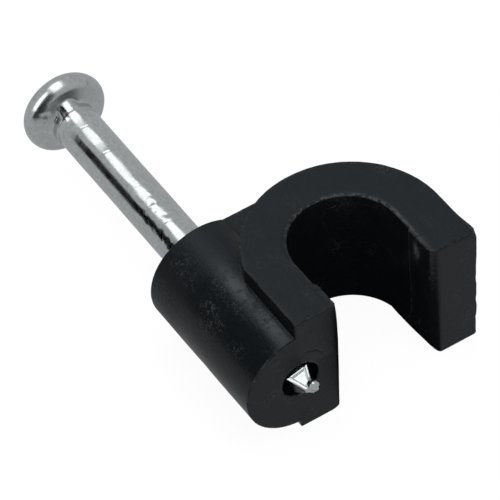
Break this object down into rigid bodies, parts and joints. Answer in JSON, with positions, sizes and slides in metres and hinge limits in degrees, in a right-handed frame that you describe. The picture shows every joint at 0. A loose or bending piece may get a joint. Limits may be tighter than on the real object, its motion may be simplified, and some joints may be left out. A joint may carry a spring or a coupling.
{
  "type": "cable clip",
  "caption": "C-shaped moulded plastic clip that holds a round cable against a wall, with a headed steel masonry nail ready in the boss at its side.",
  "frame": {"origin": "on the axis of the cable channel, at the side face that the clip lies on; the wall plane is 3.4 mm below it in -Y", "axes": "+Z along the cable channel, from the lying side face to the other; +Y along the nail, from the wall plane to the nail's head; +X from the nail boss to the free leg"},
  "size_m": [0.0141, 0.025, 0.0078],
  "materials": {
    "clip_plastic": "black polyethylene, satin, lightly scuffed on the boss",
    "nail_steel": "bright zinc plating over hardened steel, slightly rough"
  },
  "bodies": {
    "root": {"clip_body": "clip_plastic", "nail": "nail_steel"}
  },
  "joints": []
}
